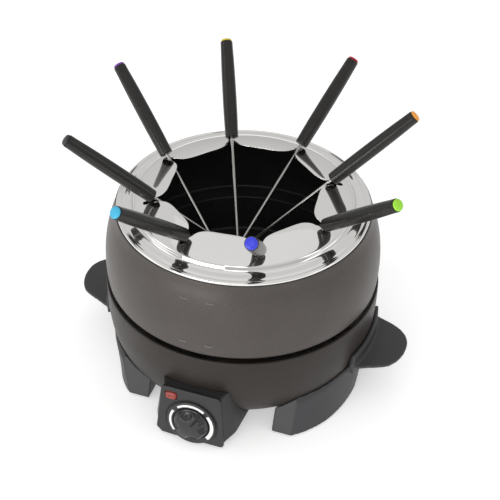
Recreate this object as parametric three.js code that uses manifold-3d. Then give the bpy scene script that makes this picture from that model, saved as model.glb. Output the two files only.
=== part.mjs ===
// Electric fondue set: heated base with side mouldings, lift-out pot, splash
// ring and eight forks.  Millimetres, +Z up, front (control box) towards -Y,
// origin on the table under the middle of the whole set.  The sizes below are
// measured from the pot's upright axis, which stands at (0, AXIS_Y).
import * as THREE from 'three';
import { mergeVertices } from 'three/addons/utils/BufferGeometryUtils.js';
import Module from 'manifold-3d';

const wasm = await Module();
wasm.setup();

// ------------------------------------------------------------ dimensions
const AXIS_Y = -4.4;             // the forks reach further back than the control box reaches forward
const GAP = 0.3;                 // clearance kept between touching pieces

// base bowl (radius, height) outside and inside
const BOWL_OUT = [[108.9, 80.9], [110.2, 81.2], [111.0, 80.2], [111.2, 72], [110.7, 58], [109.6, 47], [107.6, 36.5],
  [104.6, 28], [100.6, 21.4], [95.6, 17.0], [89, 15.0]];
const BOWL_IN = [[89, 16.3], [97.4, 20.2], [103.4, 28.6], [108.3, 47.3], [109.9, 72], [109.7, 79.6], [108.7, 79.9]];
const BOWL_BOTTOM_HOLE_R = 66;

// pot (radius, height)
const POT_OUT = [[86, 49.0], [91.5, 51.0], [94.6, 56.5], [96.2, 80.5], [99.0, 83.4], [106.2, 84.2], [109.2, 86.4], [110.2, 91],
  [110.6, 103], [110.0, 115], [108.4, 126], [105.8, 136], [102.9, 144.2], [101.6, 148.6]];
const POT_IN = [[100.2, 149.6], [98.2, 149.2], [97.6, 147.8], [103.0, 134.8], [107.3, 114.6], [107.9, 103], [107.5, 91.5],
  [106.0, 88.0], [99.0, 87.0], [94.4, 84.6], [91.4, 58.0], [88.0, 54.2], [83, 53.0]];

// splash ring: top surface (radius, height); sheet thickness
const RING_TOP = [[100.4, 150.3], [100.1, 151.3], [98.7, 151.9], [96.9, 151.6], [95.0, 152.2], [89.3, 152.2], [87.6, 153.3],
  [86.2, 156.0], [84.0, 157.3], [78.0, 159.2], [70.5, 161.2], [63.0, 162.7], [54.0, 163.7]];
const RING_T = 0.9;
const RING_LIP_R = 96.4;         // locating collar inside the pot's mouth
const RING_LIP_Z = 142.5;
const RING_LOBE_R = 58.3;
// half of one lobe of the ring's opening: angle from a notch (deg), radius
const LOBE = [[0, 71.6], [1.7, 70.7], [3.0, 66.9], [4.0, 64.6], [5.6, 62.6], [8.2, 60.7], [13.5, 58.9], [22.5, RING_LOBE_R]];
const SLOT_W = 4.8;              // narrow slot behind each notch
const SLOT_R = 79.5;

// forks: lower end of the handle (x, y, z), elevation, azimuth, notch azimuth
const FORKS = [
  ['orange', 61.52, 34.31, 164.68, 42.587, 25.543, 29.36, 0xf0a030],
  ['red', 23.11, 74.54, 162.85, 37.625, 69.005, 72.88, 0xc8303c],
  ['yellow', -32.14, 60.74, 165.16, 41.234, 114.443, 118.14, 0xd9c81e],
  ['purple', -74.43, 23.12, 162.88, 38.600, 147.498, 163.14, 0x8040b0],
  ['black', -62.28, -35.44, 164.35, 41.356, 203.418, 209.99, 0x26262a],
  ['cyan', -22.11, -70.31, 163.77, 40.622, 243.631, 252.95, 0x40b8e0],
  ['blue', 35.71, -66.69, 163.22, 41.838, 282.863, 298.68, 0x3038d0],
  ['green', 72.80, -21.45, 163.15, 39.813, 335.482, 343.86, 0x90d828],
];
const HANDLE_L = 82;
const HANDLE_R_MID = 5.75;
const HANDLE_R_LOW = 5.3;        // at the stem
const HANDLE_R_TOP = 5.05;       // at the cap
const STEM_R = 1.45;
const STEM_L = 160;
const CAP_R = 4.45;

// control box
const PANEL_TOP = { y: -118, z: 50.5, w: 24.2 };
const PANEL_BOT = { y: -122, z: 2.2, w: 28.4 };
const FASCIA_T = 2.2;
const DIAL_X = 1.3;              // the dial sits a little to the right of the panel's middle
const DIAL_Z = 20.9;
const DIAL_R = 14.3;
const DIAL_POINT = 57;           // direction of the pointer arm (deg from the panel's X)
const DIAL_BOSS_R = 20.2;        // raised ring round the dial
const DIAL_RECESS_R = 15.1;

// side mouldings
const WING_Z = 40;               // top face of the wing
const WING_T = 2.6;
const WING = [[104, 31], [111.4, 28.6], [119, 26], [126.5, 23], [133, 18.8], [137.5, 14], [140.4, 8.5], [141.8, 1.5], [141.5, -6],
  [139.3, -14.5], [135.2, -22], [130.8, -26.2], [125, -29.2], [118.5, -32], [110.5, -36], [104, -38]];
const COLLAR_Z = 50.5;
const COLLAR_R = 113.6;
const FOOT_Z = 1.2;              // underside of the leg, carried on rubber pads
// legs: angle from the X axis (deg), foot outer radius, ridge radius, ridge height
const LEG_RIGHT = { from: -1, inner: 57.1, lift: (phi) => Math.max(0, (11 - phi) / 12) * 14,
  table: [[0, 104.9, 110.5, 37.6], [8, 107.4, 110.4, 37.4], [16, 109.7, 110.0, 36.6], [25, 112.5, 109.6, 33.5], [32, 114.7, 109.4, 31],
    [38, 116.1, 109.4, 29.5], [44, 116.8, 109.4, 28.2], [51, 117.0, 109.8, 27], [60, 117.2, 110.3, 26]] };
const LEG_LEFT = { from: 9, inner: 48.3, lift: (phi) => Math.min(24, Math.max(0, (28 - phi) / 12) * 20),
  table: [[9, 98, 107.2, 34], [18, 99.5, 107.2, 32], [28, 101.5, 107.4, 30], [33, 104.2, 108.0, 29], [39.5, 106.7, 108.7, 28],
    [45.5, 109.6, 109.4, 27], [50.6, 111.2, 109.8, 26.4], [58, 112.4, 110.2, 25.6], [66, 113.0, 110.5, 25]] };
const LEG_END_Y = 91;            // end faces of the legs at the table
const LEG_END_LEAN = 0.42;       // they lean back with height
const PAD_X = 67;
const PAD_Y = 72;

const group = new THREE.Group();
const set = new THREE.Group();   // everything placed about the pot's axis
set.position.y = AXIS_Y;
group.add(set);

// --------------------------------------------------------------- helpers
function clean(geometry, tol = 1e-4) {
  let g = geometry.clone();
  g.deleteAttribute('normal');
  g.deleteAttribute('uv');
  g = mergeVertices(g, tol);
  const p = g.attributes.position;
  const ix = g.index.array;
  const out = [];
  let vol = 0;
  const a = new THREE.Vector3(), b = new THREE.Vector3(), c = new THREE.Vector3();
  for (let i = 0; i < ix.length; i += 3) {
    const [i0, i1, i2] = [ix[i], ix[i + 1], ix[i + 2]];
    if (i0 === i1 || i1 === i2 || i0 === i2) continue;
    out.push(i0, i1, i2);
    a.fromBufferAttribute(p, i0); b.fromBufferAttribute(p, i1); c.fromBufferAttribute(p, i2);
    vol += a.dot(b.cross(c));
  }
  if (vol < 0) for (let i = 0; i < out.length; i += 3) { const t = out[i]; out[i] = out[i + 1]; out[i + 1] = t; }
  g.setIndex(out);
  return g;
}
function toSolid(geometry) {
  const g = clean(geometry);
  return new wasm.Manifold(new wasm.Mesh({
    numProp: 3,
    vertProperties: new Float32Array(g.attributes.position.array),
    triVerts: new Uint32Array(g.index.array),
  }));
}
function fromSolid(solid) {
  const m = solid.getMesh();
  const g = new THREE.BufferGeometry();
  g.setAttribute('position', new THREE.BufferAttribute(new Float32Array(m.vertProperties), 3));
  g.setIndex(new THREE.BufferAttribute(new Uint32Array(m.triVerts), 1));
  return g;
}
function cut(body, ...tools) {
  let s = toSolid(body);
  for (const t of tools) s = s.subtract(toSolid(t));
  return fromSolid(s);
}
function join(body, ...more) {
  let s = toSolid(body);
  for (const t of more) s = s.add(toSolid(t));
  return fromSolid(s);
}
// profile of [radius, height] turned about Z
function turn(profile, segments, start = 0, angle = Math.PI * 2) {
  const g = new THREE.LatheGeometry(profile.map(([r, z]) => new THREE.Vector2(r, z)), segments, start, angle);
  g.rotateX(Math.PI / 2);
  return g;
}
function ringOf(profile, segments) { return turn([...profile, profile[0]], segments); }
function disc(r, z0, z1, segments) { return turn([[0, z0], [r, z0], [r, z1], [0, z1]], segments); }
function box(x0, x1, y0, y1, z0, z1) {
  const g = new THREE.BoxGeometry(x1 - x0, y1 - y0, z1 - z0);
  g.translate((x0 + x1) / 2, (y0 + y1) / 2, (z0 + z1) / 2);
  return g;
}
function cylAlong(from, to, r, segments = 12) {
  const a = new THREE.Vector3(...from), b = new THREE.Vector3(...to);
  const d = b.clone().sub(a), l = d.length();
  const g = new THREE.CylinderGeometry(r, r, l, segments);
  g.translate(0, l / 2, 0);
  g.applyQuaternion(new THREE.Quaternion().setFromUnitVectors(new THREE.Vector3(0, 1, 0), d.normalize()));
  g.translate(a.x, a.y, a.z);
  return g;
}
function plate(outline, z0, z1, holes = []) {
  const s = new THREE.Shape(outline.map(([x, y]) => new THREE.Vector2(x, y)));
  for (const h of holes) s.holes.push(new THREE.Path(h.map(([x, y]) => new THREE.Vector2(x, y))));
  const g = new THREE.ExtrudeGeometry(s, { depth: z1 - z0, bevelEnabled: false, curveSegments: 12 });
  g.translate(0, 0, z0);
  return g;
}
// closed skin through stacked loops of equal length, ends filled
function loft(loops) {
  const n = loops[0].length, pos = [], idx = [];
  for (const l of loops) for (const p of l) pos.push(...p);
  for (let k = 0; k < loops.length - 1; k++) {
    for (let i = 0; i < n; i++) {
      const j = (i + 1) % n, a = k * n + i, b = k * n + j, c = a + n, d = b + n;
      idx.push(a, b, d, a, d, c);
    }
  }
  const capFan = (k, flip) => {
    const c = [0, 0, 0];
    for (const p of loops[k]) { c[0] += p[0] / n; c[1] += p[1] / n; c[2] += p[2] / n; }
    const ci = pos.length / 3; pos.push(...c);
    for (let i = 0; i < n; i++) {
      const a = k * n + i, b = k * n + (i + 1) % n;
      if (flip) idx.push(ci, b, a); else idx.push(ci, a, b);
    }
  };
  capFan(0, true); capFan(loops.length - 1, false);
  const g = new THREE.BufferGeometry();
  g.setAttribute('position', new THREE.Float32BufferAttribute(pos, 3));
  g.setIndex(idx);
  return g;
}
function circle(r, n, cx = 0, cy = 0) {
  return Array.from({ length: n }, (_, i) => [cx + r * Math.cos(2 * Math.PI * i / n), cy + r * Math.sin(2 * Math.PI * i / n)]);
}
function pipe(points, r, sides, steps) {
  const path = new THREE.CatmullRomCurve3(points.map((p) => new THREE.Vector3(...p)));
  const s = new THREE.Shape(circle(r, sides).map(([x, y]) => new THREE.Vector2(x, y)));
  return new THREE.ExtrudeGeometry(s, { steps, extrudePath: path, bevelEnabled: false });
}
function add(name, geometry, material, parent = set) {
  const mesh = new THREE.Mesh(clean(geometry), new THREE.MeshStandardMaterial(material));
  mesh.name = name;
  parent.add(mesh);
  return mesh;
}
const rad = THREE.MathUtils.degToRad;

// -------------------------------------------------------------- materials
const POT_GREY = { color: 0x5c5855, roughness: 0.42, metalness: 0.35 };
const BASE_GREY = { color: 0x46423f, roughness: 0.45, metalness: 0.3 };
const STEEL = { color: 0xc8c8c6, roughness: 0.08, metalness: 1.0 };
const WIRE = { color: 0xb8b8b6, roughness: 0.2, metalness: 1.0 };
const PLASTIC = { color: 0x46464a, roughness: 0.5, metalness: 0.0 };
const BLACK = { color: 0x2c2a29, roughness: 0.45, metalness: 0.0 };
const ALU = { color: 0xa0a2a4, roughness: 0.45, metalness: 0.9 };
const SHEET = { color: 0xb0b2b2, roughness: 0.35, metalness: 0.9 };
const RUBBER = { color: 0x1c1c1c, roughness: 0.8, metalness: 0.0 };
const ZINC = { color: 0xb8bcc0, roughness: 0.35, metalness: 1.0 };
const CREAM = { color: 0xd8d2c0, roughness: 0.6, metalness: 0.0 };

// ------------------------------------------------------------------- base
const bowlSolid = turn([[0, 15.0 - GAP], ...[...BOWL_OUT].reverse().map(([r, z]) => [r + GAP, z > 16 ? z : z - GAP]), [0, 81]], 48);
{
  const profile = [...BOWL_OUT, [BOWL_BOTTOM_HOLE_R, 15.0], [BOWL_BOTTOM_HOLE_R, 16.3], ...BOWL_IN];
  const holes = [
    box(-9, 9, -112, -92, 24, 34),                                    // wires to the control box
    cylAlong([0, 90, 27], [0, 116, 27], 5.8, 16),                    // cable gland
  ];
  for (const sx of [-1, 1]) for (const sy of [-1, 1]) {
    holes.push(cylAlong([sx * 98, sy * 16, 45], [sx * 116, sy * 16, 45], 1.9, 8));
  }
  add('base_bowl', cut(ringOf(profile, 48), ...holes), BASE_GREY);
}
add('reflector_dish', ringOf([[108.9, 78.4], [108.9, 77.6], [104.0, 77.4], [103.7, 48], [99.6, 37.6], [92, 33.4], [73, 33.4],
  [73, 34.2], [91.8, 34.2], [98.9, 38.2], [102.8, 48.2], [103.1, 78.4]], 32), SHEET);
add('heater_support', cut(ringOf([[69.4, 16.6], [76, 16.6], [76, 17.6], [70.6, 17.6], [70.6, 39.8], [69.4, 39.8]], 28),
  box(-12, 12, -80, -60, 20, 30), box(-12, 12, 60, 80, 20, 30)), SHEET);
add('heating_plate', turn([[0, 42.2], [20, 42.2], [20, 40.2], [78, 40.2], [80.5, 42], [80.5, 46.6], [78.6, 48.4], [0, 48.4]], 32), ALU);
{
  const pts = [[-9, -53, 24], [-9, -54, 30], [-12, -53.5, 35.2]];
  for (let a = 255; a >= -75; a -= 15) {
    if (a > 250 || a < -70) continue;
    pts.push([55 * Math.cos(rad(a)), 55 * Math.sin(rad(a)), 36.3]);
  }
  pts.push([12, -53.5, 35.2], [9, -54, 30], [9, -53, 24]);
  add('heating_element', pipe(pts, 3.2, 8, 34), SHEET);
}
add('thermal_fuse', cylAlong([22, -12, 38.0], [22, 12, 38.0], 1.9, 10), ZINC);
add('terminal_block', box(-16, 16, -12, 0, 15.9, 26), CREAM);
{
  const holes = [0, 120, 240].map((a) => circle(2.0, 8, 77 * Math.cos(rad(a + 30)), 77 * Math.sin(rad(a + 30))));
  add('bottom_cover', plate(circle(82, 36), 13.4, 14.6, holes), SHEET);
  [0, 120, 240].forEach((a, i) => {
    const x = 77 * Math.cos(rad(a + 30)), y = 77 * Math.sin(rad(a + 30));
    const g = turn([[0, 11.4], [3.0, 11.4], [3.4, 12.0], [3.4, 13.0], [1.6, 13.1], [1.6, 14.6], [0, 14.6]], 10);
    g.translate(x, y, 0);
    add(`cover_screw_${i + 1}`, g, ZINC);
  });
}
// cable gland at the back, with the lead's bore left open
add('cable_gland', cut(join(cylAlong([0, 94, 27], [0, 116, 27], 5.4, 16), cylAlong([0, 108, 27], [0, 111, 27], 8.2, 16),
  cylAlong([0, 93.6, 27], [0, 96.2, 27], 6.2, 16)), cylAlong([0, 90, 27], [0, 120, 27], 3.4, 12)), RUBBER);

// --------------------------------------------------------- side mouldings
function lerpTable(table, x, col) {
  for (let i = 1; i < table.length; i++) {
    if (x <= table[i][0]) {
      const t = (x - table[i - 1][0]) / (table[i][0] - table[i - 1][0]);
      return table[i - 1][col] * (1 - t) + table[i][col] * t;
    }
  }
  return table[table.length - 1][col];
}
function legArch(leg, side) {     // crescent profile swept round the bowl
  const loops = [];
  for (let k = 0; k <= 11; k++) {
    const phi = leg.from + (64 - leg.from) * k / 11;
    const ro = lerpTable(leg.table, phi, 1), rr = lerpTable(leg.table, phi, 2), zr = lerpTable(leg.table, phi, 3);
    const c = Math.cos(rad(phi)), s = Math.sin(rad(phi)) * side;
    const q = (r, z) => [r * c, r * s, z];
    const z0 = FOOT_Z + leg.lift(phi);
    loops.push([q(72, FOOT_Z + leg.lift(phi) * 0.4), q(ro, z0), q(rr, Math.max(zr, z0 + 4)), q(103.5, Math.max(zr + 6, z0 + 8)), q(72, 24)]);
  }
  return loft(side > 0 ? loops : loops.map((l) => [...l].reverse()));
}
function moulding(legShape) {     // built on the +X side: wing, collar against the bowl, a leg to the front and one to the back
  const arc = (r, a0, a1, n) => Array.from({ length: n + 1 }, (_, i) => { const a = rad(a0 + (a1 - a0) * i / n); return [r * Math.cos(a), r * Math.sin(a)]; });
  const collar = plate([...arc(COLLAR_R, -19, 15.5, 8), ...arc(104.5, 15.5, -19, 8)], WING_Z - WING_T - 6, COLLAR_Z);
  let body = toSolid(plate(WING, WING_Z - WING_T, WING_Z)).add(toSolid(collar));
  for (const side of [1, -1]) {
    let leg = toSolid(legArch(legShape, side));
    const y0 = side * (LEG_END_Y + (FOOT_Z + 5) * LEG_END_LEAN), y1 = side * (LEG_END_Y - (48 - FOOT_Z) * LEG_END_LEAN), far = side * (LEG_END_Y + 60);
    leg = leg.subtract(toSolid(loft([[[20, y0, -5], [160, y0, -5], [160, far, -5], [20, far, -5]], [[20, y1, 48], [160, y1, 48], [160, far, 48], [20, far, 48]]])));
    leg = leg.subtract(toSolid(box(0, legShape.inner, -200, 200, -10, 100)));
    body = body.add(leg);
  }
  body = body.subtract(toSolid(bowlSolid)).subtract(toSolid(disc(84, 0, 40, 36)));
  for (const sy of [-1, 1]) {
    const seat = disc(5.4, -1, 3.7, 12);
    seat.translate(PAD_X, sy * PAD_Y, 0);
    body = body.subtract(toSolid(seat)).subtract(toSolid(cylAlong([100, sy * 16, 45], [116, sy * 16, 45], 1.9, 8)));
  }
  return fromSolid(body);
}
add('side_moulding_right', moulding(LEG_RIGHT), PLASTIC);
{
  const left = moulding(LEG_LEFT);
  left.scale(-1, 1, 1);
  add('side_moulding_left', left, PLASTIC);
}
for (const [nx, sx] of [['right', 1], ['left', -1]]) {
  for (const [ny, sy] of [['front', -1], ['back', 1]]) {
    const pad = turn([[0, 0], [4.6, 0], [5.0, 0.5], [5.0, 3.4], [0, 3.4]], 12);
    pad.translate(sx * PAD_X, sy * PAD_Y, 0);
    add(`foot_pad_${ny}_${nx}`, pad, RUBBER);
    const y = sy * 16;
    const screw = join(cylAlong([sx * 103.9, y, 45], [sx * 105.1, y, 45], 2.9, 10), cylAlong([sx * 104.6, y, 45], [sx * 112.8, y, 45], 1.5, 10));
    add(`bracket_screw_${ny}_${nx}`, screw, ZINC);
  }
}

// ------------------------------------------------------------ control box
const slope = (PANEL_BOT.y - PANEL_TOP.y) / (PANEL_BOT.z - PANEL_TOP.z);   // dy/dz of the panel
const panelY = (z) => PANEL_TOP.y + (z - PANEL_TOP.z) * slope;
const normal = new THREE.Vector3(0, -1, slope).normalize();                // out of the panel
const tilt = Math.atan(slope);
function onPanel(geometry, x, z, out = 0) {      // geometry built along +Z out of the panel, its Y up the panel
  const g = geometry.clone();
  g.rotateX(Math.PI / 2 - tilt);
  g.translate(x + normal.x * out, panelY(z) + normal.y * out, z + normal.z * out);
  return g;
}
{
  const h = (PANEL_TOP.z - PANEL_BOT.z) / Math.cos(tilt);
  const zc = (PANEL_TOP.z + PANEL_BOT.z) / 2;
  const t = PANEL_TOP.w, b = PANEL_BOT.w, dv = (DIAL_Z - zc) / Math.cos(tilt);
  const up = h / 2, lo = -h / 2;
  // panel outline with a rounded swelling under the dial
  const swell = [];
  for (let a = 250; a <= 290; a += 8) {
    const x = DIAL_X + DIAL_BOSS_R * Math.cos(rad(a)), y = dv + DIAL_BOSS_R * Math.sin(rad(a));
    if (y < lo) swell.push([x, y]);
  }
  const outline = [[-t + 2.2, up], [-t, up - 2.4], [-b, lo + 5.2], [-b + 4.6, lo + 0.6], ...swell, [b - 3, lo], [b, lo + 3.4], [t, up - 2.4], [t - 2.2, up]].reverse();
  const shaftHole = circle(4.2, 14, DIAL_X, dv);
  const lampHole = [[-21.5, 12.8], [-11.1, 12.8], [-11.1, 20.4], [-21.5, 20.4]];
  const fascia = plate(outline, -FASCIA_T, 0, [shaftHole, lampHole]);
  const boss = ringOf([[DIAL_RECESS_R, -1], [DIAL_BOSS_R, -1], [DIAL_BOSS_R, 1.3], [DIAL_BOSS_R - 0.7, 2.0], [DIAL_RECESS_R + 0.3, 2.0], [DIAL_RECESS_R, 1.7]], 32);
  boss.translate(DIAL_X, dv, 0);
  add('control_fascia', onPanel(join(fascia, boss), 0, zc), PLASTIC);

  // housing behind the fascia, widening back under the bowl
  const f = FASCIA_T + GAP;
  const front = [[-t, 50.2], [-b, 7.4], [-b + 4.6, 2.8], [b - 4.6, 2.4], [b, 6], [t, 50.2]].map(([x, z]) => [x, panelY(z) + f + 0.1, z]);
  const mid = [[-t - 3, -108, 50.2], [-b - 5.6, -107, 8.2], [-b - 1.4, -107, 3.8], [b + 1.4, -107, 3.8], [b + 5.6, -107, 8.2], [t + 3, -108, 50.2]];
  const back = [[-t - 9, -86, 50.2], [-b - 10, -86, 17], [-b - 6, -86, 15.6], [b + 6, -86, 15.6], [b + 10, -86, 17], [t + 9, -86, 50.2]];
  const outer = toSolid(loft([front, mid, back]));
  const ins = (l, dx, dz) => l.map(([x, y, z]) => [x - Math.sign(x) * dx, y, z > 30 ? z - dz : z + dz]);
  const inner = toSolid(loft([ins(front, 2.6, 2.4).map(([x, y, z]) => [x, y - 1, z]), ins(mid, 3, 2.6), ins(back, 3, 3).map(([x, y, z]) => [x, y + 1, z])]));
  const housing = outer.subtract(inner).subtract(toSolid(bowlSolid)).subtract(toSolid(disc(83, 0, 20, 36)));
  add('control_housing', fromSolid(housing), PLASTIC);

  // pilot lamp: lens in the fascia, neon holder behind it
  const lens = join(plate([[-4.8, -3.4], [4.8, -3.4], [4.8, 3.4], [-4.8, 3.4]], -2.2, 0.9), plate([[-4.0, -2.6], [4.0, -2.6], [4.0, 2.6], [-4.0, 2.6]], 0.5, 1.5));
  lens.translate(-16.3, 16.6, 0);
  add('pilot_lamp_lens', onPanel(lens, 0, zc), { color: 0xb02018, roughness: 0.15, metalness: 0.0 });
  const holder = plate([[-3.6, -3.2], [3.6, -3.2], [3.6, 3.2], [-3.6, 3.2]], -7.2, -2.5);
  holder.translate(-16.3, 16.6, 0);
  add('pilot_lamp_holder', onPanel(holder, 0, zc), CREAM);

  // thermostat behind the dial
  const stat = cut(box(-13, 13, -9, 9, -10.6, -2.6), disc(3.4, -7, 0, 14));
  stat.translate(DIAL_X, dv, 0);
  add('thermostat', onPanel(stat, 0, zc), CREAM);
  const shaft = disc(3.0, -6.4, 6.2, 14);
  shaft.translate(DIAL_X, dv, 0);
  add('dial_shaft', onPanel(shaft, 0, zc), ZINC);

  // dial knob: domed, four finger scoops leave four arms, one of them with the
  // pointer groove; bored for the shaft
  let knob = toSolid(turn([[0, 0.5], [DIAL_R - 0.4, 0.5], [DIAL_R, 0.9], [DIAL_R, 2.3], [13.5, 2.8], [13.2, 5.2], [11.6, 6.9], [7, 8.3], [0, 8.8]], 28));
  for (let q = 0; q < 4; q++) {
    const scoop = turn([[0, 3.0], [3.4, 3.2], [5.0, 4.6], [6.0, 7.4], [6.0, 12], [0, 12]], 14);
    scoop.translate(14.2, 0, 0);
    scoop.rotateZ(rad(DIAL_POINT + 45 + 90 * q));
    knob = knob.subtract(toSolid(scoop));
  }
  const groove = box(4.2, 12.4, -0.6, 0.6, 0, 3);
  groove.rotateY(rad(17)); groove.translate(0, 0, 8.2);
  groove.rotateZ(rad(DIAL_POINT));
  knob = knob.subtract(toSolid(groove)).subtract(toSolid(disc(3.3, 0, 6.6, 14)));
  const kg = fromSolid(knob);
  kg.translate(DIAL_X, dv, 0);
  add('dial_knob', onPanel(kg, 0, zc), BLACK);
}
// wiring inside the base
add('mains_loom', pipe([[0, 98, 27], [0, 88, 26], [4, 70, 23.5], [6, 40, 21], [6, 14, 21], [6, 1, 21]], 2.2, 8, 16), RUBBER);
add('control_loom', pipe([[0, -13, 21], [0, -40, 21], [0, -66, 23], [0, -90, 27], [0, -104.5, 28]], 2.2, 8, 14), RUBBER);

// -------------------------------------------------------------------- pot
add('pot', turn([[0, 49.0], ...POT_OUT, ...POT_IN, [0, 53.0]], 48), POT_GREY);

// ------------------------------------------------------------ splash ring
{
  const top = RING_TOP;
  const under = [...top].reverse().filter((_, i) => ![1, 3, 9].includes(i)).map(([r, z]) => [r, z - RING_T]);
  under[under.length - 1][0] -= 0.9;
  const sheet = toSolid(ringOf([...top, ...under.slice(0, -1), [99.4, 149.9]], 48));
  const lip = toSolid(ringOf([[RING_LIP_R, 151.5], [RING_LIP_R, RING_LIP_Z], [RING_LIP_R - 0.9, RING_LIP_Z], [RING_LIP_R - 0.9, 151.6]], 48));
  const star = [];
  for (let k = 0; k < 8; k++) {
    const a0 = FORKS[k][6], a1 = FORKS[(k + 1) % 8][6] + (k === 7 ? 360 : 0), span = (a1 - a0) / 45;
    for (let i = 0; i < LOBE.length; i++) { if (i === 0 || i < LOBE.length) star.push([LOBE[i][1], a0 + LOBE[i][0] * span]); }
    for (let i = LOBE.length - 2; i > 0; i--) star.push([LOBE[i][1], a1 - LOBE[i][0] * span]);
  }
  const opening = plate(star.map(([r, a]) => [r * Math.cos(rad(a)), r * Math.sin(rad(a))]), 140, 180);
  let ring = sheet.add(lip).subtract(toSolid(opening));
  for (const f of FORKS) {
    const slot = join(box(60, SLOT_R - SLOT_W / 2, -SLOT_W / 2, SLOT_W / 2, 140, 180), (() => { const g = disc(SLOT_W / 2, 140, 180, 10); g.translate(SLOT_R - SLOT_W / 2, 0, 0); return g; })());
    slot.rotateZ(rad(f[6]));
    ring = ring.subtract(toSolid(slot));
  }
  add('splash_ring', fromSolid(ring), STEEL);
}

// ------------------------------------------------------------------ forks
FORKS.forEach(([colour, x, y, z, el, az, , hex], k) => {
  const g = new THREE.Group();
  const e = rad(el), a = rad(az);
  const d = new THREE.Vector3(Math.cos(e) * Math.cos(a), Math.cos(e) * Math.sin(a), Math.sin(e));
  const side = new THREE.Vector3(-Math.sin(a), Math.cos(a), 0);
  const up = new THREE.Vector3().crossVectors(d, side);
  g.matrixAutoUpdate = true;
  const m = new THREE.Matrix4().makeBasis(side, up, d);
  g.quaternion.setFromRotationMatrix(m);
  if (m.determinant() < 0) { g.quaternion.setFromRotationMatrix(new THREE.Matrix4().makeBasis(side.clone().negate(), up, d)); }
  g.position.set(x, y, z);
  const R0 = HANDLE_R_LOW, R1 = HANDLE_R_TOP, RM = HANDLE_R_MID, L = HANDLE_L;
  const handle = turn([[0, 8.2], [1.75, 8.2], [1.75, 0], [R0 - 0.5, 0], [R0, 0.7], [RM, L * 0.32], [RM - 0.1, L * 0.6], [R1, L - 0.7], [R1 - 0.5, L], [3.9, L], [3.9, L - 2.4], [0, L - 2.4]], 10);
  add(`fork_${k + 1}_handle`, handle, BLACK, g);
  add(`fork_${k + 1}_cap`, turn([[0, L - 2.1], [3.6, L - 2.1], [3.6, L + GAP], [CAP_R, L + GAP], [CAP_R, L + 0.8], [CAP_R - 1.1, L + 1.8], [0, L + 2.3]], 12), { color: hex, roughness: 0.4, metalness: 0.0 }, g);
  // stem with two tines
  const zb = -(STEM_L - 20);
  const stem = new THREE.CylinderGeometry(STEM_R, STEM_R, 7.9 - zb, 8);
  stem.rotateX(Math.PI / 2); stem.translate(0, 0, (7.9 + zb) / 2);
  const bridge = box(-0.75, 0.75, -2.4, 2.4, zb - 2.4, zb + 0.6);
  const tines = [-1, 1].map((s) => { const t = turn([[0, zb - 20], [0.75, zb - 17], [0.75, zb - 1], [0, zb - 1]], 6); t.translate(0, s * 1.65, 0); return t; });
  add(`fork_${k + 1}_stem`, join(stem, bridge, ...tines), WIRE, g);
  set.add(g);
});

export default group;
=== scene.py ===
import bpy, bmesh, math
import numpy as np
from mathutils import Vector, Matrix


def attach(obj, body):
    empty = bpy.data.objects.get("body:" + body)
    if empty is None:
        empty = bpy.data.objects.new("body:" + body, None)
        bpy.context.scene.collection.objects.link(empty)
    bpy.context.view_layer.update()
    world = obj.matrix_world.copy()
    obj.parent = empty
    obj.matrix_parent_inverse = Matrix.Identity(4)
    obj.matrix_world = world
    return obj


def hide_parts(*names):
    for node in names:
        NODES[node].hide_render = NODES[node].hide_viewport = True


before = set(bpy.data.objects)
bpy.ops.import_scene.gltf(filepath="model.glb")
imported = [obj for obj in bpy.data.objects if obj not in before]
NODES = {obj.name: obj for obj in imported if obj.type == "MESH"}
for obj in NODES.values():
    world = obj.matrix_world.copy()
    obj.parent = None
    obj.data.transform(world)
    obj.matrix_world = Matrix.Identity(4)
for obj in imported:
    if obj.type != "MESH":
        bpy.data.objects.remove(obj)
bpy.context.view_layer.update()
MM = 0.001
AXIS_Y = -4.4                                     # the pot's upright axis stands at (0, AXIS_Y)
rad = math.radians
scene = bpy.context.scene

# ------------------------------------------------------------------ camera
def norm(v):
    v = np.asarray(v, float)
    return v / np.linalg.norm(v)

def make_camera():
    el, dist, f_px, tx, tz, roll, az = rad(37.06), 1000.0, 1271.2, 5.6, -48.07, rad(1.14), rad(19.0)
    c = np.array([0, -dist * math.cos(el), dist * math.sin(el)])
    t = np.array([tx, 0, tz])
    fw = norm(t - c); r = norm(np.cross(fw, [0, 0, 1])); u = np.cross(r, fw)
    r2 = math.cos(roll) * r + math.sin(roll) * u
    u2 = -math.sin(roll) * r + math.cos(roll) * u
    m = np.array([[math.cos(az), -math.sin(az), 0], [math.sin(az), math.cos(az), 0], [0, 0, 1]])
    c, fw, r2, u2 = m @ c + np.array([0, AXIS_Y, 150.0]), m @ fw, m @ r2, m @ u2
    cam = bpy.data.cameras.new("camera")
    cam.sensor_width = 36.0
    cam.lens = f_px * 36.0 / 500.0
    cam.clip_start, cam.clip_end = 0.01, 60
    o = bpy.data.objects.new("camera", cam)
    scene.collection.objects.link(o)
    o.matrix_world = Matrix(((r2[0], u2[0], -fw[0], c[0] * MM), (r2[1], u2[1], -fw[1], c[1] * MM),
                             (r2[2], u2[2], -fw[2], c[2] * MM), (0, 0, 0, 1)))
    scene.camera = o
make_camera()

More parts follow.
